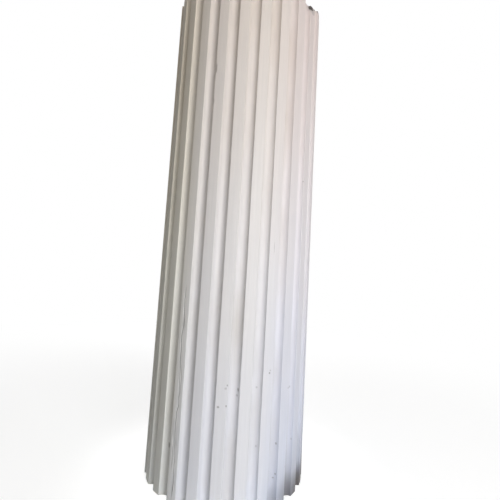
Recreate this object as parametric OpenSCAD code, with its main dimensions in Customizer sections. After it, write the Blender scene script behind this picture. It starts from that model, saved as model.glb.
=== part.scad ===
// Fluted column shaft: one tapering timber drum, cut square at foot and head,
// with nearly half-round flutes that run its whole length and flat fillets between them.
// Millimetres, +Z up. The origin is the centre of the foot, and one fillet faces -Y.

/* [Shaft] */
// Length from the flat of the foot to the flat of the head
shaft_height = 1030; // [600:10:2400]
// Diameter over the fillets at the foot
foot_d = 356; // [280:1:480]
// How much narrower the head is than the foot
diminution = 42; // [0:1:90]

/* [Flutes] */
// Number of flutes around the shaft
flute_count = 24; // [18:1:26]
// Width of the flat fillet between two flutes, at the foot
fillet_w = 22.8; // [8:0.1:26]
// Depth of a flute below the fillets, at the foot
flute_depth = 11.4; // [4:0.1:12]

/* [Hidden] */

// Circles are drawn with this many sides
$fn = 96;
// How far a cutter runs past each end of the shaft
overrun = 15;

foot_r = foot_d / 2;
head_r = foot_r - diminution / 2;

// A fillet and a flute together fill this angle, and the flute fills flute_angle of it
pitch_angle = 360 / flute_count;
flute_angle = pitch_angle - fillet_w / foot_r * 180 / PI;

// The straight line across a flute's mouth, and how far it lies from the shaft's axis
mouth_w = 2 * foot_r * sin(flute_angle / 2);
mouth_r = foot_r * cos(flute_angle / 2);

// The flute's floor lies flute_depth inside the fillets, which is this far inside its mouth
floor_depth = flute_depth - (foot_r - mouth_r);
cutter_r = (pow(mouth_w / 2, 2) + pow(floor_depth, 2)) / (2 * floor_depth);
cutter_axis_r = foot_r - flute_depth + cutter_r;

// Every section of the shaft is the foot's own, drawn smaller: 1 at the foot
function section_scale(z) = 1 - (1 - head_r / foot_r) * z / shaft_height;

// The round bar that hollows one flute. It narrows and leans in with the shaft, so that
// flute and fillet keep their proportions all the way up
module flute_cutter() {
    z_low = -overrun;
    z_high = shaft_height + overrun;
    low = section_scale(z_low);
    high = section_scale(z_high);
    rise = z_high - z_low;
    lean = cutter_axis_r * (low - high);
    translate([cutter_axis_r * low, 0, z_low])
        rotate([0, -atan2(lean, rise), 0])
            cylinder(h = norm([lean, rise]), r1 = cutter_r * low, r2 = cutter_r * high);
}

module shaft() {
    // The first flute starts half a pitch round from the fillet that faces -Y
    first_flute = -90 + pitch_angle / 2;
    color("#e6e3e0")
        difference() {
            cylinder(h = shaft_height, r1 = foot_r, r2 = head_r);
            for (i = [0 : flute_count - 1])
                rotate([0, 0, first_flute + i * pitch_angle])
                    flute_cutter();
        }
}

shaft();
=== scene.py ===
"""A fluted column shaft of brush-painted pine, worn a little, on a pale studio floor."""

import logging
import math
import random
from dataclasses import dataclass, field
from enum import Enum
from functools import cached_property
from typing import Any, Iterable

import bmesh
import bpy
from mathutils import Matrix, Vector, noise
from mathutils.kdtree import KDTree


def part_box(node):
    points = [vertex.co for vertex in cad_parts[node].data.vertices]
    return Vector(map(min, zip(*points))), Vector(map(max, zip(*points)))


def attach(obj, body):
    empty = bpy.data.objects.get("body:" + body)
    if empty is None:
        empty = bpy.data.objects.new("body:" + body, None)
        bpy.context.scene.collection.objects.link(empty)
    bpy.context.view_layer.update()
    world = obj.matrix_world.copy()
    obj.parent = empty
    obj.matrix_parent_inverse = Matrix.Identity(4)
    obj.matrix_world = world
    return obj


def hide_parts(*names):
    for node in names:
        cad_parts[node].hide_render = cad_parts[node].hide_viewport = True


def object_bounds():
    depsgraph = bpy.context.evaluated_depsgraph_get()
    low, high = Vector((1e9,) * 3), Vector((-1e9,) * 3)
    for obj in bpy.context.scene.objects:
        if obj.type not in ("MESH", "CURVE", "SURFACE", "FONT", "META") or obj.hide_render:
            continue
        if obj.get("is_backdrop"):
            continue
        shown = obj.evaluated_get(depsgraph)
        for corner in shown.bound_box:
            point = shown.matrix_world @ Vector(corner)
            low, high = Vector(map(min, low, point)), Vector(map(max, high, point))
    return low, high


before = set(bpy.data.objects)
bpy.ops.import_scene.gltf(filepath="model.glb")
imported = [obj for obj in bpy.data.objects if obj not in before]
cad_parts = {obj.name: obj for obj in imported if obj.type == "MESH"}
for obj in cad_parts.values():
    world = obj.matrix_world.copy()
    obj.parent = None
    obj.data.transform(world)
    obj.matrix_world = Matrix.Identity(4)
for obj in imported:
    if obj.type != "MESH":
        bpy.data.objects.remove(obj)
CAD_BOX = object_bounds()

log = logging.getLogger("shaft")

Tree = bpy.types.NodeTree
Socket = bpy.types.NodeSocket
BMesh = bmesh.types.BMesh
BMVert = bmesh.types.BMVert

MM = 0.001
UP = Vector((0.0, 0.0, 1.0))
AXIS_POINT = Vector((0.0, 0.0, 0.0))
WELD = 0.005 * MM
# A facet of a flute lies less than this off the true surface
FACET = 0.15 * MM
# A face whose normal points up or down by more than this belongs to an end
END_FACING = 0.9


# --- Small helpers ---


def linear(hex_colour: str) -> tuple[float, float, float, float]:
    """Turn an sRGB hex colour into the linear colour that a shader takes.

    Args:
        hex_colour: Six hex digits after a hash, such as "#E4E2E3".

    Returns:
        Linear red, green and blue, and an alpha of 1.
    """
    parts = [int(hex_colour[i : i + 2], 16) / 255 for i in (1, 3, 5)]
    curve = [p / 12.92 if p <= 0.04045 else ((p + 0.055) / 1.055) ** 2.4 for p in parts]
    return (curve[0], curve[1], curve[2], 1.0)


def smoothstep(x: float) -> float:
    """Ease x from 0 to 1 with level ends, and hold it there outside that span."""
    x = min(1.0, max(0.0, x))
    return x * x * (3.0 - 2.0 * x)


def on_shaft(bearing: float, radius: float, height: float = 0.0) -> Vector:
    """Find the point at a bearing, which is counted from -Y towards +X.

    Args:
        bearing: Angle about the shaft's axis, in radians.
        radius: Distance from the axis.
        height: Height above the foot.

    Returns:
        The point, in the shaft's own frame.
    """
    return Vector((radius * math.sin(bearing), -radius * math.cos(bearing), height))


def bearing_of(point: Vector) -> float:
    """Give a point's bearing in radians, from -pi to pi, with 0 facing -Y."""
    return math.atan2(point.x, -point.y)


def unevenness(point: Vector, runs: tuple[float, float], shift: float = 0.0) -> float:
    """Give smooth noise, round 0, that is drawn out along the shaft.

    Args:
        point: A point on the shaft.
        runs: The noise's size round the shaft and up it, in metres.
        shift: How far up its own pattern the noise is read.

    Returns:
        The noise, from -1 to 1.
    """
    across, along = runs
    return noise.noise(Vector((point.x / across, point.y / across, shift + point.z / along)))


def stand(name: str, data: bpy.types.ID) -> bpy.types.Object:
    """Put a new object into the scene.

    Args:
        name: The object's name.
        data: The mesh, lamp or camera that it holds.

    Returns:
        The object.
    """
    made = bpy.data.objects.new(name, data)
    bpy.context.scene.collection.objects.link(made)
    return made


def sort_places(places: list[Vector]) -> KDTree:
    """Sort points for quick searches by distance."""
    tree = KDTree(len(places))
    for index, place in enumerate(places):
        tree.insert(place, index)
    tree.balance()
    return tree


def verts_in(made: Iterable[Any]) -> list[BMVert]:
    """Pick the vertices out of what an operator made."""
    return [item for item in made if isinstance(item, BMVert)]


def split_many_sided(bm: BMesh) -> None:
    """Cut faces of more than four sides into triangles."""
    bmesh.ops.triangulate(bm, faces=[face for face in bm.faces if len(face.verts) > 4])


def add_node(tree: Tree, kind: str, inputs: dict | None = None, **settings: Any) -> bpy.types.Node:
    """Add one shader node with its settings, and set or link its inputs.

    Args:
        tree: The material's or the world's node tree.
        kind: Blender's name for the node type, after "ShaderNode".
        inputs: Each input's name or index, with a value or the socket that feeds it.
        **settings: The node's own properties.

    Returns:
        The new node.
    """
    made = tree.nodes.new("ShaderNode" + kind)
    for name, value in settings.items():
        setattr(made, name, value)
    for key, value in (inputs or {}).items():
        if isinstance(value, Socket):
            tree.links.new(value, made.inputs[key])
        else:
            made.inputs[key].default_value = value
    return made


# --- Finishes ---


def start_material(name: str) -> tuple[bpy.types.Material, Tree]:
    """Make an empty material.

    Args:
        name: The finish's own name.

    Returns:
        The material and its node tree.
    """
    material = bpy.data.materials.new(name)
    material.use_nodes = True
    material.node_tree.nodes.clear()
    return material, material.node_tree


class Layer(Enum):
    """The numbers that the shaft's mesh carries at each vertex for its finish."""

    HOLLOW = "hollow"  # 0 on a fillet, 1 on the floor of a flute
    BARE = "bare"  # 1 where the paint is gone down to grey timber
    SOIL = "soil"  # 1 where dirt has lodged, and in the painted shade at the foot
    RAISED = "raised"  # 1 where the grain has lifted beside a split


def streaks(tree: Tree, place: Socket, across: float, along: float, detail: float) -> Socket:
    """Lay a noise pattern that is drawn out along the shaft.

    Args:
        tree: The material's node tree.
        place: Object coordinates.
        across: The pattern's size round the shaft, in metres.
        along: The pattern's size up the shaft, in metres.
        detail: How many finer layers it holds.

    Returns:
        A socket from 0 to 1, mostly near 0.5.
    """
    scale = (1 / across, 1 / across, 1 / along)
    mapped = add_node(tree, "Mapping", {"Vector": place, "Scale": scale})
    inputs = {"Vector": mapped.outputs[0], "Scale": 1.0, "Detail": detail}
    return add_node(tree, "TexNoise", inputs).outputs["Fac"]


def weigh(tree: Tree, value: Socket, gain: Any, offset: Any = 0.0, clamp: bool = False) -> Socket:
    """Multiply a value and add to it.

    Args:
        tree: The material's node tree.
        value: The value.
        gain: What it is multiplied by, a number or a socket.
        offset: What is added, a number or a socket.
        clamp: Whether the result is held between 0 and 1.

    Returns:
        The result's socket.
    """
    inputs = {0: value, 1: gain, 2: offset}
    node = add_node(tree, "Math", inputs, operation="MULTIPLY_ADD", use_clamp=clamp)
    return node.outputs[0]


def blend(tree: Tree, factor: Any, under: Any, over: Any, how: str = "MIX") -> Socket:
    """Lay one colour over another.

    Args:
        tree: The material's node tree.
        factor: How much of the upper colour shows, a number or a socket.
        under: The lower colour, a value or a socket.
        over: The upper colour, a value or a socket.
        how: Blender's name for the way they mix.

    Returns:
        The mixed colour's socket.
    """
    inputs = {"Factor": factor, 6: under, 7: over}
    return add_node(tree, "Mix", inputs, data_type="RGBA", blend_type=how).outputs[2]


def ease_between(tree: Tree, value: Socket, start: float, end: float) -> Socket:
    """Ease from 0 to 1 as a value goes from start to end."""
    inputs = {"Value": value, "From Min": start, "From Max": end}
    return add_node(tree, "MapRange", inputs, interpolation_type="SMOOTHSTEP").outputs[0]


def raise_surface(tree: Tree, pattern: Socket, height: Any, under: Any = None) -> Socket:
    """Raise a pattern on the surface by shading.

    Args:
        tree: The material's node tree.
        pattern: The pattern, from 0 to 1.
        height: How high it stands, in metres.
        under: The normal of a broader pattern that it lies on.

    Returns:
        The normal's socket.
    """
    inputs = {"Height": pattern, "Strength": 1.0, "Distance": height}
    if under is not None:
        inputs["Normal"] = under
    return add_node(tree, "Bump", inputs).outputs[0]


def read_layer(tree: Tree, layer: Layer) -> Socket:
    """Read one of the numbers that the mesh carries."""
    return add_node(tree, "Attribute", attribute_name=layer.value).outputs["Fac"]


@dataclass(frozen=True)
class BrushedPaint:
    """Old white oil paint, brushed lengthways over pine.

    It has dulled to a satin, so it shows soft broad light and no mirror. Bristle
    streaks and the timber's grain run up the shaft. Its colour holds painted light:
    bluer at the foot and warmer and darker towards the head, a cool tint on the lit
    side and a warm shade tint on the other, and painted shade with some dirt in the
    flutes.
    """

    # Foot, middle and head: in front, on the lit side, and on the shaded side. The bluer
    # foot, the warmer and darker head, and each side's tint are painted tints of light and shade
    front_tones: tuple[str, str, str] = ("#DFE2EC", "#E5E3E4", "#DDD2CA")
    cool_lit_side_tones: tuple[str, str, str] = ("#D0D9EE", "#E9E6EA", "#DACCC8")
    shaded_tones: tuple[str, str, str] = ("#D8DBDC", "#EAE8DE", "#DBCFBE")
    # Where the three stand, as shares of the height, how far patches move them, and how
    # far from the middle the front's tones give way to those of each side
    tone_stops: tuple[float, float, float] = (0.05, 0.5, 0.98)
    tone_sway: float = 0.25
    turn_from: float = 50 * MM
    turn_to: float = 130 * MM
    # Grey of dirt, and of the painted shade at the foot
    soil_and_shade_tone: str = "#605D5F"
    # Tone of the painted shade, with some dirt, in the flutes
    flute_shade_dirt_tone: str = "#CFCABF"
    timber_tone: str = "#2F2C2D"
    timber_light: str = "#6B645E"
    roughness: float = 0.58
    roughness_sway: float = 0.2
    bare_roughness: float = 0.3
    ior: float = 1.48
    # Bristle streaks are about 1 mm apart and are drawn at 3 mm, so that they show
    bristle: float = 3.0 * MM
    stroke: float = 180.0 * MM
    # Latewood ridges of slow-grown pine, as they lift the paint
    grain: float = 7.0 * MM
    grain_run: float = 420.0 * MM
    patch: float = 90.0 * MM
    bristle_relief: float = 0.05 * MM
    grain_relief: float = 0.16 * MM
    raised_relief: float = 0.7 * MM
    # Lifted grain beside a split runs in short wavy ridges
    lifted: float = 4.5 * MM
    lifted_run: float = 55.0 * MM
    # How much each pattern lightens the paint, from a level just under 1
    level: float = 0.89
    bristle_shade: float = 0.1
    grain_shade: float = 0.05
    patch_shade: float = 0.08
    lifted_shade: float = 1.5
    lifted_dulling: float = -0.03
    # How bristle streaks break up a bare edge, and over what sum it goes from whole to bare
    bare_breakup: float = 0.8
    bare_start: float = -0.4
    bare_edge: tuple[float, float] = (0.35, 0.55)
    # Painted shade and some dirt lie thicker in some patches of a flute than in others
    flute_shade_dirt_sway: float = 1.5
    flute_shade_dirt_start: float = -0.65

    def build(self, height: float) -> bpy.types.Material:
        """Make the paint for a shaft of this height.

        Args:
            height: The shaft's height in metres, over which the tone changes.

        Returns:
            The material.
        """
        material, tree = start_material("brushed_oil_paint_on_pine")
        place = add_node(tree, "TexCoord").outputs["Object"]
        bristle = streaks(tree, place, self.bristle, self.stroke, 3.0)
        grain = streaks(tree, place, self.grain, self.grain_run, 2.0)
        patch = streaks(tree, place, self.patch, self.patch * 2.5, 4.0)
        wear = {layer: read_layer(tree, layer) for layer in Layer}
        # The bare edge breaks up along the grain
        bare = weigh(tree, bristle, self.bare_breakup, weigh(tree, wear[Layer.BARE], 1.0, self.bare_start))
        whole, gone = self.bare_edge
        span = {"Value": bare, "From Min": whole, "From Max": gone}
        bare = add_node(tree, "MapRange", span).outputs[0]
        lifted = streaks(tree, place, self.lifted, self.lifted_run, 2.0)
        tone = self._tone(tree, place, height, patch)
        shade = self._shade(tree, bristle, grain, patch, weigh(tree, lifted, 1.0, -0.5), wear[Layer.RAISED])
        colour = blend(tree, 1.0, tone, shade, "MULTIPLY")
        # Painted shade with some dirt darkens the flutes, most on their floors
        flute_shade_dirt = weigh(tree, patch, self.flute_shade_dirt_sway, self.flute_shade_dirt_start)
        flute_shade_dirt = weigh(tree, wear[Layer.HOLLOW], flute_shade_dirt, clamp=True)
        colour = blend(tree, flute_shade_dirt, colour, linear(self.flute_shade_dirt_tone), "MULTIPLY")
        # Dirt, and the painted shade at the foot
        colour = blend(tree, wear[Layer.SOIL], colour, linear(self.soil_and_shade_tone))
        timber = blend(tree, bristle, linear(self.timber_tone), linear(self.timber_light))
        colour = blend(tree, bare, colour, timber)
        rough = weigh(tree, patch, self.roughness_sway, self.roughness - self.roughness_sway / 2)
        rough = weigh(tree, bare, self.bare_roughness, rough, clamp=True)
        ridges = raise_surface(tree, grain, self.grain_relief)
        ridges = raise_surface(tree, lifted, weigh(tree, wear[Layer.RAISED], self.raised_relief), ridges)
        shader = add_node(
            tree,
            "BsdfPrincipled",
            {
                "Base Color": colour,
                "Roughness": rough,
                "Normal": raise_surface(tree, bristle, self.bristle_relief, ridges),
                "IOR": self.ior,
            },
        )
        add_node(tree, "OutputMaterial", {"Surface": shader.outputs[0]})
        return material

    def _tone(self, tree: Tree, place: Socket, height: float, patch: Socket) -> Socket:
        """Blend the paint's three tones from the foot to the head, a little unevenly, with a painted cool
        light tint on one side and a warm shade tint on the other.

        Args:
            tree: The material's node tree.
            place: Object coordinates.
            height: The shaft's height in metres.
            patch: Broad uneven patches.

        Returns:
            The colour's socket.
        """
        parts = add_node(tree, "SeparateXYZ", {"Vector": place})
        uneven = weigh(tree, patch, self.tone_sway, -self.tone_sway / 2)
        rise = weigh(tree, parts.outputs["Z"], 1 / height, uneven)
        side = parts.outputs["X"]
        # Painted tints: cool light on the lit side (+X), warm shade on the shaded side (-X)
        cool_lit_side = ease_between(tree, side, self.turn_from, self.turn_to)
        shaded = ease_between(tree, side, -self.turn_from, -self.turn_to)
        front_paint = self._ramp(tree, rise, self.front_tones)
        cool_lit_side_paint = self._ramp(tree, rise, self.cool_lit_side_tones)
        tone = blend(tree, cool_lit_side, front_paint, cool_lit_side_paint)
        return blend(tree, shaded, tone, self._ramp(tree, rise, self.shaded_tones))

    def _ramp(self, tree: Tree, rise: Socket, tones: tuple[str, str, str]) -> Socket:
        """Blend three tones from the foot to the head.

        Args:
            tree: The material's node tree.
            rise: The height, from 0 at the foot to 1 at the head.
            tones: The three tones, from the foot up.

        Returns:
            The colour's socket.
        """
        node = add_node(tree, "ValToRGB", {"Fac": rise})
        ramp = node.color_ramp
        ramp.interpolation = "B_SPLINE"
        ramp.elements.new(self.tone_stops[1])
        for stop, position, tone in zip(ramp.elements, self.tone_stops, tones):
            stop.position, stop.color = position, linear(tone)
        return node.outputs[0]

    def _shade(
        self, tree: Tree, bristle: Socket, grain: Socket, patch: Socket, lifted: Socket, raised: Socket
    ) -> Socket:
        """Turn the patterns into one light-and-dark factor just under 1.

        Args:
            tree: The material's node tree.
            bristle: The bristle streaks.
            grain: The timber's grain.
            patch: Broad uneven patches.
            lifted: Short wavy ridges, round 0.
            raised: Where the grain has lifted into those ridges.

        Returns:
            The factor's socket.
        """
        total = weigh(tree, bristle, self.bristle_shade, self.level)
        total = weigh(tree, raised, weigh(tree, lifted, self.lifted_shade, self.lifted_dulling), total)
        total = weigh(tree, grain, self.grain_shade, total)
        return weigh(tree, patch, self.patch_shade, total)


@dataclass(frozen=True)
class PrimedEnd:
    """Sawn pine under one coat of dull grey-white primer.

    It is drier and flatter than the paint, with faint parallel saw marks and
    hollows where the soft grain drank the primer.
    """

    tone: str = "#CFC9BF"
    thirsty_tone: str = "#B3A994"
    timber_tone: str = "#6B6054"
    roughness: float = 0.78
    # Saw marks lie about 2 mm apart and are drawn at 4 mm, so that they show
    saw_pitch: float = 4.0 * MM
    saw_relief: float = 0.12 * MM
    # A saw mark's length for its width, its slant in radians, and how it shades the tone
    saw_run: float = 60.0
    saw_slant: float = 0.4
    saw_shade: float = 0.14
    level: float = 0.88
    grain: float = 16.0 * MM
    grain_relief: float = 0.2 * MM

    def build(self) -> bpy.types.Material:
        """Make the primer.

        Returns:
            The material.
        """
        material, tree = start_material("primed_sawn_pine_end")
        place = add_node(tree, "TexCoord").outputs["Object"]
        long_scale = (1 / (self.saw_run * self.saw_pitch), 1 / self.saw_pitch, 1.0)
        turned = add_node(tree, "Mapping", {"Vector": place, "Rotation": (0, 0, self.saw_slant)})
        mapped = add_node(tree, "Mapping", {"Vector": turned.outputs[0], "Scale": long_scale})
        saw = add_node(tree, "TexNoise", {"Vector": mapped.outputs[0], "Scale": 1.0}).outputs["Fac"]
        grain = streaks(tree, place, self.grain, self.grain, 5.0)
        thirsty = weigh(tree, grain, 2.0, -0.6, clamp=True)
        colour = blend(tree, thirsty, linear(self.tone), linear(self.thirsty_tone))
        colour = blend(tree, 1.0, colour, weigh(tree, saw, self.saw_shade, self.level), "MULTIPLY")
        colour = blend(tree, read_layer(tree, Layer.BARE), colour, linear(self.timber_tone))
        shader = add_node(
            tree,
            "BsdfPrincipled",
            {
                "Base Color": colour,
                "Roughness": self.roughness,
                "Normal": raise_surface(
                    tree, saw, self.saw_relief, raise_surface(tree, grain, self.grain_relief)
                ),
            },
        )
        add_node(tree, "OutputMaterial", {"Surface": shader.outputs[0]})
        return material


# --- The shaft's true surface ---


@dataclass(frozen=True)
class FluteArc:
    """The circle that a flute is cut to, at the foot."""

    radius: float
    from_axis: float  # how far its centre stands from the shaft's axis
    half_angle: float  # half of the arc that is cut into the shaft, in radians


@dataclass(frozen=True)
class ShaftForm:
    """A cone, hollowed all round by cones that lean in with the taper."""

    foot_radius: float
    head_radius: float
    height: float
    flutes: int = 24
    fillet_width: float = 22.8 * MM
    flute_depth: float = 11.4 * MM

    @property
    def pitch(self) -> float:
        """Angle that one fillet and one flute fill together."""
        return math.tau / self.flutes

    @property
    def fillet_angle(self) -> float:
        """Angle that a fillet fills."""
        return self.fillet_width / self.foot_radius

    @cached_property
    def arc(self) -> FluteArc:
        """The circle that fits a flute's mouth and depth at the foot."""
        half = (self.pitch - self.fillet_angle) / 2
        mouth = self.foot_radius * math.sin(half)
        floor = self.flute_depth - self.foot_radius * (1 - math.cos(half))
        radius = (mouth**2 + floor**2) / (2 * floor)
        return FluteArc(radius, self.foot_radius - self.flute_depth + radius, math.asin(mouth / radius))

    def scale_at(self, height: float) -> float:
        """Give the section's size at a height, where the foot's is 1."""
        return 1 - (1 - self.head_radius / self.foot_radius) * height / self.height

    def radius_at(self, bearing: float, height: float) -> float:
        """Find how far the surface is from the axis.

        Args:
            bearing: Angle about the axis, in radians.
            height: Height above the foot.

        Returns:
            The distance: a fillet's radius, or less inside a flute.
        """
        off = math.remainder(bearing - self.pitch / 2, self.pitch)
        reach = self.foot_radius
        if abs(off) < (self.pitch - self.fillet_angle) / 2:
            across = self.arc.from_axis * math.sin(off)
            reach = self.arc.from_axis * math.cos(off) - math.sqrt(self.arc.radius**2 - across**2)
        return reach * self.scale_at(height)

    def place(self, bearing: float, height: float) -> Vector:
        """Find the surface's point at a bearing in degrees and a height."""
        turn = math.radians(bearing)
        return on_shaft(turn, self.radius_at(turn, height), height)

    def seat(self, point: Vector, lip: float) -> Vector:
        """Move a point from a flat facet out to the true surface.

        Args:
            point: A point on the faceted shaft.
            lip: How far the eased arris reaches into a flute, where points stay put.

        Returns:
            The point on its fillet or flute, at the same height.
        """
        scale = self.scale_at(point.z)
        flat = point.xy / scale
        flute = round((bearing_of(point) - self.pitch / 2) / self.pitch)
        centre = on_shaft((flute + 0.5) * self.pitch, self.arc.from_axis).xy
        spoke = flat - centre
        if abs(spoke.length - self.arc.radius) < FACET and flat.length < self.foot_radius - lip:
            flat = centre + spoke.normalized() * self.arc.radius
        elif abs(flat.length - self.foot_radius) < FACET / 4:
            flat = flat.normalized() * self.foot_radius
        return Vector((flat.x * scale, flat.y * scale, point.z))


# --- Wear ---


class Damage(Enum):
    """What made a mark: how much dirt, and at the foot painted shade, it holds, and how much timber it lays
    bare.
    """

    SPOT = (0.55, 0.0)  # a pinhole or a fly spot, full of dirt
    SMEAR = (0.28, 0.0)  # a faint rub that has gone grey
    FOOT_SHADOW = (1.0, 0.0)  # a painted shadow at the foot
    KNOCK = (0.15, 0.0)  # a dent in an arris, with its paint whole
    FLAKE = (0.2, 1.0)  # paint gone, down to grey timber
    BREAK = (0.3, 1.0)  # a piece split off the head, so that the end is lower there

    @property
    def soil(self) -> float:
        """Dirt, and at the foot painted shade, at the mark's middle, from 0 to 1."""
        return self.value[0]

    @property
    def bare(self) -> float:
        """Bare timber at the mark's middle, from 0 to 1."""
        return self.value[1]


# A mark's edge, in shares of its half size: where it ends, over how much it fades, how far
# its raggedness moves it, how coarse that is, and how far out it can run
MARK_END = 1.05
MARK_FADE = 0.7
MARK_RAGGED = 0.3
MARK_COARSE = 0.7
MARK_REACH = 1.6


@dataclass(frozen=True)
class Mark:
    """One mark of wear, or at the foot a patch of painted shade. A mark without depth only colours the whole
    paint.
    """

    kind: Damage
    bearing: float  # degrees from -Y towards +X
    height: float  # above the foot
    across: float  # half its width
    along: float  # half its length
    depth: float = 0.0

    @property
    def reach(self) -> float:
        """How far the mark's ragged edge can run from its middle."""
        return MARK_REACH * max(self.across, self.along)

    def centre(self, form: ShaftForm) -> Vector:
        """Find the mark's middle on the shaft."""
        return form.place(self.bearing, self.height)

    def strength(self, offset: Vector) -> float:
        """Say how strongly the mark acts near its middle.

        Args:
            offset: From the mark's middle to a point on the shaft.

        Returns:
            From 0 outside the mark to 1 at its middle.
        """
        off = math.hypot(offset.x / self.across, offset.y / self.across, offset.z / self.along)
        grain = MARK_COARSE * min(self.across, self.along) + MM
        ragged = 1 + MARK_RAGGED * noise.noise(offset / grain + Vector((self.bearing, self.height, 0.0)))
        return smoothstep((MARK_END - off * ragged) / MARK_FADE)

    def samples(self, form: ShaftForm) -> Iterable[tuple[Vector, float]]:
        """Give points down the mark's length.

        Args:
            form: The shaft that it lies on.

        Yields:
            Each point, with its reach.
        """
        count = max(1, round(self.along / self.across))
        for step in range(count):
            height = self.height + self.along * ((2 * step + 1) / count - 1)
            height = min(max(height, 0.0), form.height)
            yield form.place(self.bearing, height), self.across


@dataclass(frozen=True)
class DryingCheck:
    """A hairline split that timber opens along its grain as it dries."""

    bearing: float  # degrees, the middle of the fillet that it runs along
    route: tuple[tuple[float, float], ...]  # heights, and offsets round the shaft
    width: float = 1.5 * MM
    depth: float = 1.3 * MM
    wander: float = 0.5 * MM
    fade: float = 25 * MM
    # How far the raised, roughened grain spreads to each side
    spread: float = 9 * MM
    # Lengths over which it flutters from side to side, and opens and closes
    flutter_run: float = 9 * MM
    opening_run: float = 18 * MM

    @property
    def ends(self) -> tuple[float, float]:
        """The heights of its two ends."""
        return self.route[0][0], self.route[-1][0]

    def offset(self, height: float) -> float:
        """Find the split's offset from the fillet's middle.

        Args:
            height: A height between its ends.

        Returns:
            The offset round the shaft, in metres.
        """
        for (low, start), (high, end) in zip(self.route, self.route[1:]):
            if height <= high:
                break
        along = (height - low) / (high - low)
        flutter = self.wander * noise.noise(Vector((height / self.flutter_run, self.bearing, 0.5)))
        return start + (end - start) * smoothstep(along) + flutter

    def reach(self, point: Vector) -> tuple[float, float]:
        """Measure a point against the split.

        Args:
            point: A point on the shaft.

        Returns:
            Its distance from the split round the shaft, and how open the split is
            there, from 0 past its ends to 1.
        """
        low, high = self.ends
        if not low < point.z < high:
            return math.inf, 0.0
        turn = math.remainder(bearing_of(point) - math.radians(self.bearing), math.tau)
        away = abs(turn * point.xy.length - self.offset(point.z))
        opening = 0.75 + 0.35 * noise.noise(Vector((point.z / self.opening_run, 3.0, self.bearing)))
        return away, opening * smoothstep(min(point.z - low, high - point.z) / self.fade)

    def samples(self, form: ShaftForm, step: float) -> Iterable[tuple[Vector, float]]:
        """Give points down the split's length.

        Args:
            form: The shaft that it runs along.
            step: The most that lies between two points.

        Yields:
            Each point, with its reach.
        """
        low, high = self.ends
        count = math.ceil((high - low) / step)
        for index in range(count + 1):
            height = low + (high - low) * index / count
            radius = form.foot_radius * form.scale_at(height)
            turn = math.radians(self.bearing) + self.offset(height) / radius
            yield on_shaft(turn, radius, height), self.width


# Spots, rubs and knocks where they lie on the weather side: the bearing in degrees and the
# height in metres, then half the width, half the length and the depth in millimetres
WEATHER_WEAR = (
    (Damage.SPOT, -1.7, 0.201, 3.0, 3.0, 0.6),
    (Damage.SPOT, 3.5, 0.204, 2.6, 2.6, 0.6),
    (Damage.SPOT, 3.4, 0.243, 2.0, 2.4, 0.4),
    (Damage.SMEAR, 2.4, 0.237, 3.0, 3.0, 0.1),
    (Damage.SPOT, 10.5, 0.233, 2.6, 5.0, 0.4),
    (Damage.SMEAR, 10.0, 0.222, 3.0, 3.0, 0.3),
    (Damage.SMEAR, 23.7, 0.236, 2.6, 2.6, 0.1),
    (Damage.SPOT, 31.0, 0.265, 2.2, 2.6, 0.4),
    (Damage.SMEAR, 31.5, 0.270, 2.0, 2.4, 0.1),
    (Damage.SPOT, 48.5, 0.228, 2.6, 2.4, 0.4),
    (Damage.SMEAR, 54.4, 0.224, 2.4, 3.0, 0.1),
    (Damage.SMEAR, 25.1, 0.123, 2.6, 3.0, 0.1),
    (Damage.SMEAR, 56.1, 0.117, 2.4, 3.0, 0.1),
    (Damage.SPOT, 40.7, 0.120, 2.4, 3.2, 0.3),
    (Damage.SPOT, 40.9, 0.060, 2.4, 3.0, 0.3),
    (Damage.SPOT, 40.0, 0.052, 3.0, 2.2, 0.3),
    (Damage.SMEAR, 48.6, 0.070, 2.8, 3.4, 0.1),
    (Damage.SPOT, 46.3, 0.013, 2.8, 2.8, 0.4),
    (Damage.SPOT, -38.5, 0.101, 3.0, 7.0, 0.5),
    (Damage.SPOT, 56.3, 0.650, 1.6, 1.8, 0.3),
    (Damage.SMEAR, 30.0, 0.509, 1.0, 17.0, 0.2),
    (Damage.KNOCK, -18.5, 0.850, 2.8, 13.0, 1.3),
    (Damage.KNOCK, -18.5, 0.786, 1.4, 6.0, 0.6),
    (Damage.BREAK, 59.0, 1.030, 24.0, 28.0, 11.0),
    (Damage.FLAKE, 57.4, 1.026, 9.0, 6.5, 0.8),
    (Damage.FLAKE, 61.5, 1.029, 6.0, 3.0, 0.6),
    (Damage.FLAKE, 72.2, 1.029, 4.5, 3.5, 0.6),
)
WEATHER_MARKS = tuple(Mark(*wear[:3], *(size * MM for size in wear[3:])) for wear in WEATHER_WEAR)

# The long split down one fillet, and two short ones beside it
CHECKS = (
    DryingCheck(
        -30.0,
        (
            (0.004, 1.0 * MM), (0.040, 3.2 * MM), (0.068, 2.4 * MM), (0.112, 0.0),
            (0.136, -1.5 * MM), (0.172, -1.5 * MM), (0.190, 2.0 * MM), (0.208, 1.8 * MM),
            (0.250, 0.0), (0.290, -1.8 * MM), (0.325, -2.6 * MM), (0.350, 0.6 * MM),
            (0.390, -1.2 * MM), (0.430, 0.4 * MM),
        ),
    ),
    DryingCheck(-30.0, ((0.205, 4.6 * MM), (0.240, 5.4 * MM), (0.275, 3.2 * MM)), 0.8 * MM, 0.5 * MM),
    DryingCheck(-30.0, ((0.052, -3.5 * MM), (0.090, -4.4 * MM), (0.150, -5.0 * MM)), 0.8 * MM, 0.5 * MM),
)

# Painted shadow on one side of the foot, darkest at the floor
FOOT_SHADE = (
    Mark(Damage.FOOT_SHADOW, 85.0, -0.015, 155 * MM, 110 * MM),
    # A broader, fainter painted shade over the same side of the foot
    Mark(Damage.SMEAR, 82.0, 0.0, 155 * MM, 150 * MM),
)


@dataclass(frozen=True)
class Fineness:
    """One round of refining: the longest edge that stays, and how far it reaches past a mark."""

    longest: float
    spread: float


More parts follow.
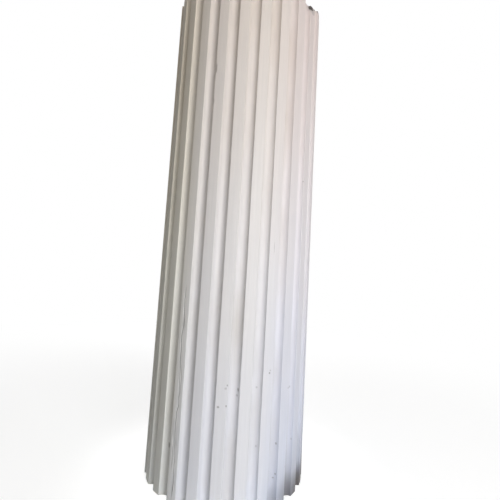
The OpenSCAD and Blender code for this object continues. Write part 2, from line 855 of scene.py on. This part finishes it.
@dataclass
class Weathering:
    """All the wear on one shaft, with the painted shade at its foot, and how it is worked into the mesh."""

    form: ShaftForm
    lip: float
    seed: int = 20
    spots_behind: int = 22
    knocks_behind: int = 9
    # The sheltered side: its bearings, and its first fillet, counted from the front either way
    behind: tuple[float, float] = (88, 280)
    first_behind: int = 6
    # Slow unevenness of hand-planed timber: how far in, and how far round
    hollowing: float = 0.14 * MM
    sway: float = 0.36 * MM
    lift: float = 0.3 * MM
    # Lengths round the shaft and up it over which it goes in, over which it sways, and
    # over which raised grain rises and falls
    hollow_runs: tuple[float, float] = (60 * MM, 150 * MM)
    sway_runs: tuple[float, float] = (14 * MM, 70 * MM)
    lift_runs: tuple[float, float] = (4 * MM, 30 * MM)
    check_step: float = 2 * MM
    mark_rounds: tuple[Fineness, ...] = (
        Fineness(7.0 * MM, 8.0 * MM),
        Fineness(3.7 * MM, 5.0 * MM),
        Fineness(2.0 * MM, 3.0 * MM),
        Fineness(1.1 * MM, 1.2 * MM),
    )
    check_rounds: tuple[Fineness, ...] = (
        Fineness(7.0 * MM, 13.0 * MM),
        Fineness(3.7 * MM, 10.0 * MM),
        Fineness(2.0 * MM, 8.0 * MM),
        Fineness(1.1 * MM, 2.6 * MM),
        Fineness(0.6 * MM, 1.2 * MM),
    )
    marks: list[Mark] = field(init=False)

    def __post_init__(self) -> None:
        """Take the placed marks, and strew a few more over the sheltered side."""
        self.marks = list(WEATHER_MARKS)
        chance = random.Random(self.seed)
        for _ in range(self.spots_behind):
            size = chance.uniform(1.4, 2.4) * MM
            kind = chance.choice((Damage.SPOT, Damage.SMEAR))
            bearing, rise = chance.uniform(*self.behind), chance.uniform(0.02, 0.62)
            length = size * chance.uniform(1.0, 1.6)
            self.marks.append(Mark(kind, bearing, rise * self.form.height, size, length, 0.3 * MM))
        for _ in range(self.knocks_behind):
            fillet = chance.randrange(self.first_behind, self.form.flutes - self.first_behind + 1)
            side = chance.choice((-0.5, 0.5)) * self.form.fillet_angle
            bearing = math.degrees(fillet * self.form.pitch + side)
            rise = chance.choice((chance.uniform(0.03, 0.3), chance.uniform(0.6, 0.97)))
            length, depth = chance.uniform(4, 11) * MM, chance.uniform(0.4, 0.9) * MM
            self.marks.append(Mark(Damage.KNOCK, bearing, rise * self.form.height, 1.9 * MM, length, depth))

    def apply(self, bm: BMesh) -> None:
        """Work all the wear into the shaft's mesh.

        Args:
            bm: The shaft, with its arrises eased and its rings cut.
        """
        layers = {layer: bm.verts.layers.float.new(layer.value) for layer in Layer}
        centres = [sample for mark in self.marks for sample in mark.samples(self.form)]
        self._refine(bm, centres, self.mark_rounds)
        centres = [sample for check in CHECKS for sample in check.samples(self.form, self.check_step)]
        self._refine(bm, centres, self.check_rounds)
        bm.normal_update()
        self._mark_hollows(bm, layers[Layer.HOLLOW])
        self._press_marks(bm, layers)
        bm.normal_update()
        self._open_checks(bm, layers)
        self._waver(bm)

    def _refine(
        self, bm: BMesh, centres: list[tuple[Vector, float]], rounds: Iterable[Fineness]
    ) -> None:
        """Split the faces near some points, and set the new vertices on the true surface.

        Args:
            bm: The shaft.
            centres: Points on the surface, each with its own reach.
            rounds: The rounds of splitting, from coarse to fine.
        """
        for fineness in rounds:
            bm.faces.ensure_lookup_table()
            tree = sort_places([face.calc_center_median() for face in bm.faces])
            near: dict[int, None] = {}
            for centre, reach in centres:
                near.update((index, None) for _, index, _ in tree.find_range(centre, reach + fineness.spread))
            edges = dict.fromkeys(edge for index in sorted(near) for edge in bm.faces[index].edges)
            split = bmesh.ops.subdivide_edges(
                bm,
                edges=[edge for edge in edges if edge.calc_length() > fineness.longest],
                cuts=1,
                use_grid_fill=True,
                quad_corner_type="INNER_VERT",
            )
            for vert in verts_in(split["geom_inner"]):
                vert.co = self.form.seat(vert.co, self.lip)
            # The border between coarse and fine is left in triangles and quads
            split_many_sided(bm)

    def _mark_hollows(self, bm: BMesh, hollow: bmesh.types.BMLayerItem) -> None:
        """Write how deep in a flute each vertex lies, from 0 to 1.

        Args:
            bm: The shaft.
            hollow: The layer that takes the number.
        """
        for vert in bm.verts:
            scale = self.form.scale_at(vert.co.z)
            inward = self.form.foot_radius * scale - vert.co.xy.length
            vert[hollow] = min(1.0, max(0.0, inward / (self.form.flute_depth * scale)))

    def _press_marks(self, bm: BMesh, layers: dict[Layer, bmesh.types.BMLayerItem]) -> None:
        """Press each mark into the surface, and write its dirt, painted shade and bare timber.

        Args:
            bm: The shaft.
            layers: The layers that the finish reads.
        """
        bm.verts.ensure_lookup_table()
        tree = sort_places([vert.co for vert in bm.verts])
        # The foot's marks have no depth: they only paint shade
        for mark in (*self.marks, *FOOT_SHADE):
            centre = mark.centre(self.form)
            near = tree.find_range(centre, mark.reach)
            found = [(bm.verts[index], mark.strength(place - centre)) for place, index, _ in near]
            facing = sum((vert.normal * strength for vert, strength in found), Vector())
            breaks = mark.kind is Damage.BREAK
            inward = -UP if breaks else -facing.normalized()
            for vert, strength in found:
                # Only the end's own face shows the wood where a piece has split off
                bare = strength * mark.kind.bare * (max(0.0, vert.normal.z) if breaks else 1.0)
                vert.co += inward * mark.depth * strength
                vert[layers[Layer.SOIL]] = max(vert[layers[Layer.SOIL]], strength * mark.kind.soil)
                vert[layers[Layer.BARE]] = max(vert[layers[Layer.BARE]], bare)

    def _open_checks(self, bm: BMesh, layers: dict[Layer, bmesh.types.BMLayerItem]) -> None:
        """Open each drying split, darker along its groove, with raised grain beside it.

        Args:
            bm: The shaft.
            layers: The layers that the finish reads.
        """
        for check in CHECKS:
            for vert in bm.verts:
                away, opening = check.reach(vert.co)
                if away > check.spread:
                    continue
                rough = smoothstep(1 - away / check.spread) * min(1.0, opening)
                ripple = unevenness(vert.co, self.lift_runs)
                groove = smoothstep(1 - away / check.width) * opening
                vert.co -= vert.normal * (check.depth * groove + self.lift * rough * (0.5 + 0.5 * ripple))
                vert[layers[Layer.RAISED]] = max(vert[layers[Layer.RAISED]], rough)
                # The groove is darkened along its length
                vert[layers[Layer.SOIL]] = max(vert[layers[Layer.SOIL]], groove)

    def _waver(self, bm: BMesh) -> None:
        """Give the whole shaft the slow unevenness of hand work, always inwards.

        Args:
            bm: The shaft.
        """
        for vert in bm.verts:
            wide = unevenness(vert.co, self.hollow_runs)
            close = unevenness(vert.co, self.sway_runs, 7.0)
            shrink = 1 - self.hollowing * (1 + wide) / self.form.foot_radius
            turn = Matrix.Rotation(self.sway * close / self.form.foot_radius, 2)
            flat = turn @ vert.co.xy * shrink
            vert.co = (flat.x, flat.y, vert.co.z)


# --- The shaft ---


@dataclass
class FlutedShaft:
    """The tapering shaft, with its flutes, fillets, eased arrises, sawn ends and wear."""

    form: ShaftForm
    easing: float = 0.7 * MM
    # A narrow strip beside each arris keeps the wide faces true right up to it
    margin: float = 1.2 * MM
    rim_ring: float = 0.95 * MM
    ring_pitch: float = 13.0 * MM
    fillet_steps: int = 4
    flute_steps: int = 10
    # Each ring of an end, as a share of the one outside it
    end_rings: tuple[float, ...] = (0.95, 0.9, 0.8, 0.6)
    sharp_from: float = 30.0  # degrees between two faces
    paint: BrushedPaint = field(default_factory=BrushedPaint)
    primer: PrimedEnd = field(default_factory=PrimedEnd)

    @classmethod
    def from_node(cls, node: str) -> "FlutedShaft":
        """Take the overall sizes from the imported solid.

        Args:
            node: The name of the solid that this shaft is the look of.

        Returns:
            A shaft of the same sizes.
        """
        low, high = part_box(node)
        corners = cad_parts[node].data.vertices
        head = [v.co.xy.length for v in corners if v.co.z > high.z - MM]
        return cls(ShaftForm(high.x, max(head), high.z - low.z))

    def build(self) -> bpy.types.Object:
        """Model the shaft and dress it.

        Returns:
            The finished object.
        """
        bm = bmesh.new()
        self._draw_outline(bm)
        self._raise_walls(bm)
        self._close_ends(bm)
        self._ease_edges(bm)
        self._cut_rings(bm)
        bmesh.ops.recalc_face_normals(bm, faces=bm.faces)
        for face in bm.faces:
            is_end = abs(face.normal.z) > END_FACING
            face.smooth = not is_end
            face.material_index = int(is_end)
        Weathering(self.form, self.easing).apply(bm)
        bmesh.ops.dissolve_degenerate(bm, dist=WELD, edges=bm.edges)
        split_many_sided(bm)
        mesh = bpy.data.meshes.new("fluted_shaft")
        bm.to_mesh(mesh)
        bm.free()
        piece = stand("fluted_shaft", mesh)
        mesh.materials.append(self.paint.build(self.form.height))
        mesh.materials.append(self.primer.build())
        return piece

    def _sweep(self, bm: BMesh, start: BMVert, centre: Vector, angle: float, steps: int) -> BMVert:
        """Sweep a vertex round a centre, leaving a chain of edges.

        Args:
            bm: The mesh.
            start: The vertex that the chain starts from.
            centre: The arc's centre.
            angle: The arc's angle, anticlockwise from above.
            steps: How many edges the arc has.

        Returns:
            The chain's last vertex.
        """
        swept = bmesh.ops.spin(
            bm, geom=[start], cent=centre, axis=UP, angle=angle, steps=steps, use_duplicate=False
        )
        return verts_in(swept["geom_last"])[0]

    def _draw_outline(self, bm: BMesh) -> None:
        """Draw the foot's scalloped outline: one fillet and one flute, repeated round.

        Args:
            bm: The shaft.
        """
        arc = self.form.arc
        margin = self.margin / self.form.foot_radius
        arc_margin = self.margin / arc.radius
        flute_centre = on_shaft(self.form.pitch / 2, arc.from_axis)
        last = bm.verts.new(on_shaft(-self.form.fillet_angle / 2, self.form.foot_radius))
        flat = self.form.fillet_angle - 2 * margin
        for angle, steps in ((margin, 1), (flat, self.fillet_steps), (margin, 1)):
            last = self._sweep(bm, last, AXIS_POINT, angle, steps)
        hollow = 2 * (arc.half_angle - arc_margin)
        for angle, steps in ((arc_margin, 1), (hollow, self.flute_steps), (arc_margin, 1)):
            last = self._sweep(bm, last, flute_centre, -angle, steps)
        copies = self.form.flutes - 1
        bmesh.ops.spin(
            bm,
            geom=bm.verts[:] + bm.edges[:],
            cent=AXIS_POINT,
            axis=UP,
            angle=self.form.pitch * copies,
            steps=copies,
            use_duplicate=True,
        )
        bmesh.ops.remove_doubles(bm, verts=bm.verts, dist=WELD)

    def _raise_walls(self, bm: BMesh) -> None:
        """Draw the outline up to the head, smaller by the taper.

        Args:
            bm: The shaft.
        """
        raised = bmesh.ops.extrude_edge_only(bm, edges=bm.edges)["geom"]
        verts = verts_in(raised)
        narrowing = self.form.head_radius / self.form.foot_radius
        bmesh.ops.scale(bm, verts=verts, vec=(narrowing, narrowing, 1.0))
        bmesh.ops.translate(bm, verts=verts, vec=(0.0, 0.0, self.form.height))

    def _close_ends(self, bm: BMesh) -> None:
        """Close foot and head with rings that shrink to the axis.

        Args:
            bm: The shaft.
        """
        for level in (0.0, self.form.height):
            rim = [e for e in bm.edges if e.is_boundary]
            edges = [e for e in rim if all(abs(v.co.z - level) < WELD for v in e.verts)]
            cap = bmesh.ops.contextual_create(bm, geom=edges)["faces"]
            # The first ring clears the rim's easing
            bmesh.ops.inset_region(bm, faces=cap, thickness=self.rim_ring, use_even_offset=True)
            edges = list(cap[0].edges)
            bmesh.ops.delete(bm, geom=cap, context="FACES_ONLY")
            for shrink in self.end_rings:
                ring = bmesh.ops.extrude_edge_only(bm, edges=edges)["geom"]
                edges = [item for item in ring if isinstance(item, bmesh.types.BMEdge) and item.is_boundary]
                bmesh.ops.scale(bm, verts=verts_in(ring), vec=(shrink, shrink, 1.0))
            tip = bmesh.ops.extrude_edge_only(bm, edges=edges)["geom"]
            bmesh.ops.pointmerge(bm, verts=verts_in(tip), merge_co=Vector((0.0, 0.0, level)))

    def _ease_edges(self, bm: BMesh) -> None:
        """Round the arrises between fillet and flute, and the rims of both ends.

        Args:
            bm: The shaft.
        """
        least = math.radians(self.sharp_from)
        sharp = [e for e in bm.edges if e.is_manifold and e.calc_face_angle(0.0) > least]
        bmesh.ops.bevel(
            bm,
            geom=sharp,
            offset=self.easing,
            offset_type="OFFSET",
            affect="EDGES",
            segments=2,
            profile=0.5,
            material=-1,
            clamp_overlap=True,
        )

    def _cut_rings(self, bm: BMesh) -> None:
        """Divide the tall walls into rings."""
        tall = [e for e in bm.edges if abs(e.verts[0].co.z - e.verts[1].co.z) > self.form.height / 2]
        bmesh.ops.subdivide_edges(bm, edges=tall, cuts=round(self.form.height / self.ring_pitch) - 1)


# --- Floor, lamps and camera ---


@dataclass(frozen=True)
class Softbox:
    """A broad square lamp that stands round the shaft and faces its middle."""

    name: str
    bearing: float  # degrees from -Y towards +X
    watts: float
    distance: float = 2.8
    height: float = 0.55
    side: float = 1.2
    in_reflections: bool = True
    spread: float = 180.0  # degrees; less with a honeycomb grid on the lamp

    def hang(self, target: Vector) -> None:
        """Hang the lamp, turned to a target.

        Args:
            target: The point that it faces.
        """
        data = bpy.data.lights.new(self.name, "AREA")
        data.shape = "SQUARE"
        data.size = self.side
        data.energy = self.watts
        data.spread = math.radians(self.spread)
        lamp = stand(self.name, data)
        lamp.location = on_shaft(math.radians(self.bearing), self.distance, self.height)
        lamp.visible_camera = False
        lamp.visible_glossy = self.in_reflections
        lamp.rotation_euler = (target - lamp.location).to_track_quat("-Z", "Y").to_euler()


@dataclass
class Studio:
    """A pale floor that runs out to white, soft lamps and the camera."""

    floor_half: float = 14.0
    floor_tone: str = "#EBEBEA"
    bounce_tone: str = "#E7DDC8"
    # How much the floor is lifted by the shaft, how far out that holds, and from where
    # on it is white by itself
    floor_lift: float = 0.74
    shade_to: float = 0.6
    white_from: float = 1.8
    sky_level: float = 0.02
    lamps: tuple[Softbox, ...] = (
        Softbox("key", 34.0, 39.0),
        Softbox("fill", 14.0, 19.5),
        Softbox("front_left", -35.0, 4.0),
        Softbox("side", 74.0, 5.0),
        Softbox("back", 195.0, 30.0, in_reflections=False),
        Softbox("back_side", 140.0, 9.0, in_reflections=False),
        Softbox("gridded_top", 0.0, 0.3, distance=0.0, height=2.4, side=0.3, spread=12.0),
    )
    middle: float = 0.5
    camera_distance: float = 0.9446
    camera_height: float = 0.5014
    camera_bearing: float = 4.11
    camera_turn: float = -1.852
    camera_roll: float = 3.462
    lens: float = 29.366
    sensor: float = 36.0
    nearest: float = 0.01

    def build(self) -> None:
        """Set up the camera, the floor, the sky and the lamps."""
        self._camera()
        self._floor()
        self._sky()
        for lamp in self.lamps:
            lamp.hang(Vector((0.0, 0.0, self.middle)))

    def _camera(self) -> None:
        """Stand the camera in front of the shaft, level, leaning a little to one side."""
        data = bpy.data.cameras.new("camera")
        data.sensor_width = self.sensor
        data.lens = self.lens
        data.clip_start = self.nearest
        camera = stand("camera", data)
        place = on_shaft(math.radians(self.camera_bearing), self.camera_distance, self.camera_height)
        heading = math.radians(self.camera_bearing + self.camera_turn)
        level = Matrix.Rotation(heading, 4, "Z") @ Matrix.Rotation(math.radians(90), 4, "X")
        lean = Matrix.Rotation(math.radians(self.camera_roll), 4, "Z")
        camera.matrix_world = Matrix.Translation(place) @ level @ lean
        bpy.context.scene.camera = camera

    def _floor(self) -> None:
        """Lay a flat matt floor that reads as white away from the shaft's shadow."""
        bm = bmesh.new()
        bmesh.ops.create_grid(bm, x_segments=1, y_segments=1, size=self.floor_half)
        mesh = bpy.data.meshes.new("floor")
        bm.to_mesh(mesh)
        bm.free()
        floor = stand("floor", mesh)
        mesh.materials.append(self._floor_paint())
        floor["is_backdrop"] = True

    def _floor_paint(self) -> bpy.types.Material:
        """Make the floor's matt white, lifted for the camera, and warm in the light it returns."""
        material, tree = start_material("matt_white_studio_floor")
        seen = self._seen(tree)
        place = add_node(tree, "TexCoord").outputs["Object"]
        away = add_node(tree, "VectorMath", {0: place}, operation="LENGTH").outputs["Value"]
        far = ease_between(tree, away, self.shade_to, self.white_from)
        colour = blend(tree, seen, linear(self.bounce_tone), linear(self.floor_tone))
        # Far out, what is seen is plain white, however close a lamp stands
        colour = blend(tree, weigh(tree, far, seen), colour, linear("#000000"))
        matt = add_node(tree, "BsdfDiffuse", {"Color": colour})
        glow = weigh(tree, seen, weigh(tree, far, 1 - self.floor_lift, self.floor_lift))
        glow = add_node(tree, "Emission", {"Strength": glow})
        both = add_node(tree, "AddShader", {0: matt.outputs[0], 1: glow.outputs[0]})
        add_node(tree, "OutputMaterial", {"Surface": both.outputs[0]})
        return material

    @staticmethod
    def _seen(tree: Tree) -> Socket:
        """Tell what is seen from what only lights.

        Args:
            tree: The material's or the world's node tree.

        Returns:
            1 for rays from the camera, a reflection or clear glass, and 0 for light.
        """
        path = add_node(tree, "LightPath").outputs
        seen = path["Is Camera Ray"]
        for ray in ("Is Glossy Ray", "Is Transmission Ray"):
            seen = add_node(tree, "Math", {0: seen, 1: path[ray]}, operation="MAXIMUM").outputs[0]
        return seen

    def _sky(self) -> None:
        """Light the shaft evenly from all round, under a sky that shows as white."""
        world = bpy.data.worlds.new("studio")
        bpy.context.scene.world = world
        world.use_nodes = True
        tree = world.node_tree
        tree.nodes.clear()
        inputs = {"Value": self._seen(tree), "To Min": self.sky_level, "To Max": 1.0}
        level = add_node(tree, "MapRange", inputs)
        white = {"Color": linear("#FFFFFF"), "Strength": level.outputs[0]}
        sky = add_node(tree, "Background", white)
        add_node(tree, "OutputWorld", {"Surface": sky.outputs[0]})


def report_size() -> None:
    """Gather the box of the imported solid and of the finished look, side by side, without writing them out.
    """
    boxes = {"cad": CAD_BOX, "visual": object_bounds()}
    plain = {name: [[float(x) for x in corner] for corner in box] for name, box in boxes.items()}


def main() -> None:
    """Build the studio and the shaft, and tie the shaft to its solid."""
    logging.basicConfig(level=logging.INFO, format="%(name)s: %(message)s")
    bpy.context.scene.view_settings.view_transform = "Standard"
    Studio().build()
    piece = FlutedShaft.from_node("shaft").build()
    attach(piece, "root")
    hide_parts("shaft")
    faces = len(piece.data.polygons)
    log.info("%s: %d faces, %.3f m high", piece.name, faces, piece.dimensions.z)
    report_size()


if __name__ == "__main__":
    main()
